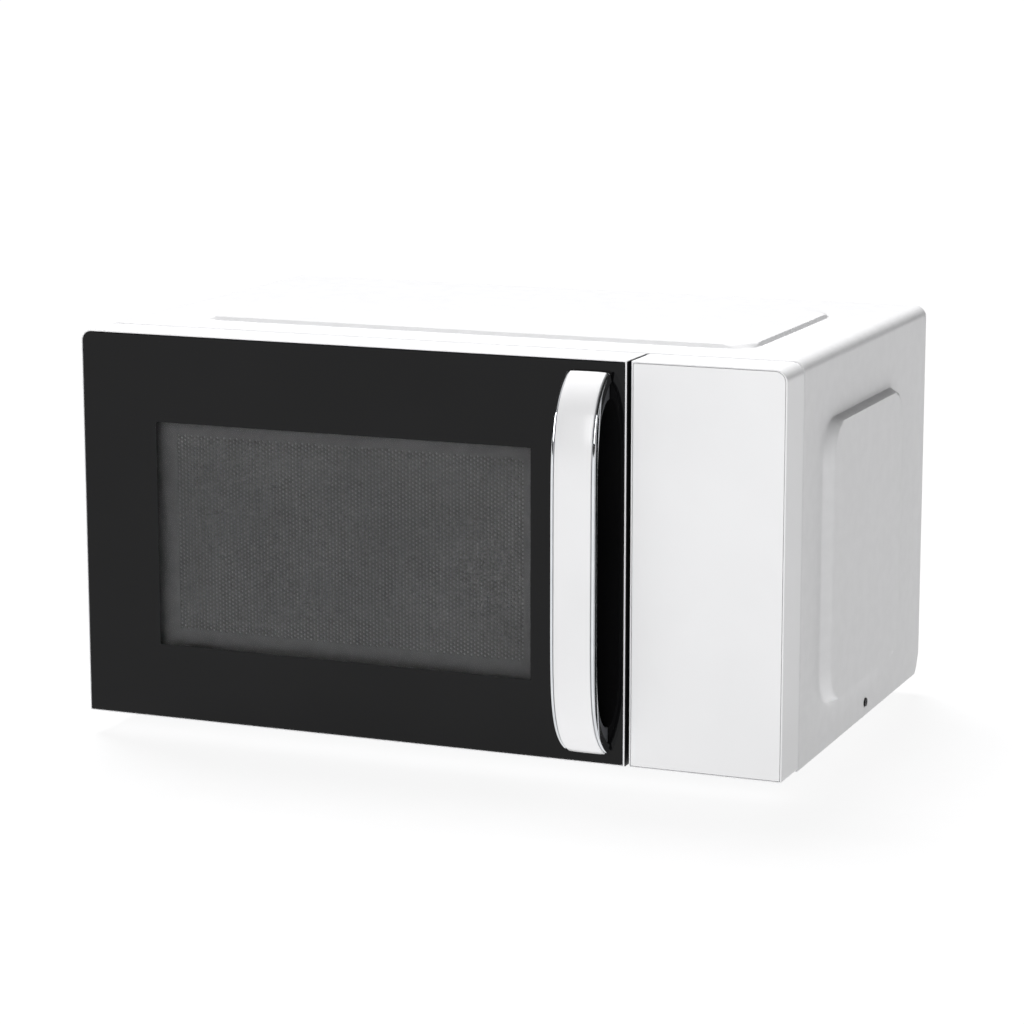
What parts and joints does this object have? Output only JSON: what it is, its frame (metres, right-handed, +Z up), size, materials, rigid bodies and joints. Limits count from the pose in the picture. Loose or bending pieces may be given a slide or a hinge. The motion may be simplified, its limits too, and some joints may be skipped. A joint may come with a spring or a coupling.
{
  "type": "microwave oven",
  "caption": "Counter-top microwave oven with a black glass door, an upright bow handle, a plain white control panel and a glass turntable.",
  "frame": {"origin": "bottom centre of the whole object's bounding box, on the surface the feet stand on", "axes": "+X to the right as seen from the front, +Y to the rear (the door faces -Y), +Z up"},
  "size_m": [0.463, 0.3298, 0.2563],
  "materials": {
    "white_paint": "satin powder coat",
    "white_plastic": "smooth moulded gloss",
    "white_overlay": "high gloss",
    "black_glass": "polished, printed black behind",
    "cavity_enamel": "semi-gloss enamel",
    "zinc_steel": "zinc plated",
    "chrome": "mirror",
    "dark_screen": "satin dark paint",
    "dark_plastic": "satin moulded",
    "black_plastic": "fine grain",
    "clear_glass": "polished",
    "clear_film": "smooth",
    "natural_plastic": "satin moulded",
    "mica": "flaky matt",
    "copper_winding": "varnished",
    "lamination": "varnished stack",
    "aluminium": "drawn",
    "circuit_board": "solder mask",
    "rubber": "matt",
    "spring_steel": "drawn wire",
    "lamp_amber": "satin"
  },
  "bodies": {
    "chassis": {"outer_cabinet": "white_paint", "base_plate": "zinc_steel", "back_panel": "zinc_steel", "waveguide": "zinc_steel", "turntable_motor": "zinc_steel", "side_screw_left": "zinc_steel", "side_screw_right": "zinc_steel", "upper_hinge": "zinc_steel", "lower_hinge": "zinc_steel", "front_plate": "cavity_enamel", "oven_cavity": "cavity_enamel", "waveguide_cover": "mica", "magnetron": "aluminium", "hv_capacitor": "aluminium", "transformer_core": "lamination", "fan_motor": "lamination", "primary_winding": "copper_winding", "secondary_winding": "copper_winding", "hv_diode": "black_plastic", "primary_switch": "black_plastic", "secondary_switch": "black_plastic", "monitor_switch": "black_plastic", "magnetron_thermostat": "black_plastic", "cavity_thermostat": "black_plastic", "fan_shroud": "natural_plastic", "latch_board": "natural_plastic", "oven_lamp": "lamp_amber", "control_panel_housing": "white_plastic", "control_panel_overlay": "white_overlay", "touch_board": "circuit_board", "control_board": "circuit_board", "filter_board": "circuit_board", "cord_gland": "rubber", "foot_front_left": "rubber", "foot_front_right": "rubber", "foot_rear_left": "rubber", "foot_rear_right": "rubber"},
    "door": {"door_frame": "white_plastic", "door_glass": "black_glass", "door_screen": "dark_screen", "window_film": "clear_film", "choke_cover": "black_plastic", "latch_spring": "spring_steel", "handle_strip": "white_plastic", "handle_trim": "chrome", "handle_base": "dark_plastic"},
    "latch": {"latch_hook": "natural_plastic"},
    "switch_plungers": {"primary_plunger": "white_plastic", "secondary_plunger": "white_plastic", "monitor_plunger": "white_plastic"},
    "turntable": {"turntable_coupler": "natural_plastic", "glass_turntable": "clear_glass"},
    "ring": {"roller_ring": "natural_plastic"},
    "roller_1": {"roller_1": "natural_plastic"},
    "roller_2": {"roller_2": "natural_plastic"},
    "roller_3": {"roller_3": "natural_plastic"},
    "fan": {"fan_blade": "natural_plastic"}
  },
  "joints": [
    {"name": "door_swing", "type": "hinge", "parent": "chassis", "child": "door", "pos_m": [-0.215, -0.11725, 0.133], "axis": [0, 0, -1], "range_deg": [0, 100]},
    {"name": "latch_lift", "type": "slide", "parent": "door", "child": "latch", "axis": [0, 0, 1], "range_m": [0, 0.005], "stiffness_N_per_m": 300, "springref_m": -0.008, "deforming": ["latch_spring"]},
    {"name": "plunger_travel", "type": "slide", "parent": "chassis", "child": "switch_plungers", "axis": [0, -1, 0], "range_m": [0, 0.0015]},
    {"name": "turntable_spin", "type": "hinge", "parent": "chassis", "child": "turntable", "pos_m": [-0.052, 0.02355, 0.032], "axis": [0, 0, 1], "continuous": true},
    {"name": "ring_spin", "type": "hinge", "parent": "chassis", "child": "ring", "pos_m": [-0.052, 0.02355, 0.0379], "axis": [0, 0, 1], "continuous": true},
    {"name": "roller_1_spin", "type": "hinge", "parent": "ring", "child": "roller_1", "pos_m": [0.03114, 0.07155, 0.0379], "axis": [0.866, 0.5, 0], "continuous": true},
    {"name": "roller_2_spin", "type": "hinge", "parent": "ring", "child": "roller_2", "pos_m": [-0.13514, 0.07155, 0.0379], "axis": [-0.866, 0.5, 0], "continuous": true},
    {"name": "roller_3_spin", "type": "hinge", "parent": "ring", "child": "roller_3", "pos_m": [-0.052, -0.07245, 0.0379], "axis": [0, -1, 0], "continuous": true},
    {"name": "fan_spin", "type": "hinge", "parent": "chassis", "child": "fan", "pos_m": [0.1718, 0.14375, 0.172], "axis": [0, 1, 0], "continuous": true}
  ],
  "couplings": [
    {"joint": "plunger_travel", "follows": "door_swing", "m_per_rad": 0.00085},
    {"joint": "ring_spin", "follows": "turntable_spin", "ratio": 0.5},
    {"joint": "roller_1_spin", "follows": "turntable_spin", "ratio": -6.4},
    {"joint": "roller_2_spin", "follows": "turntable_spin", "ratio": -6.4},
    {"joint": "roller_3_spin", "follows": "turntable_spin", "ratio": -6.4}
  ]
}
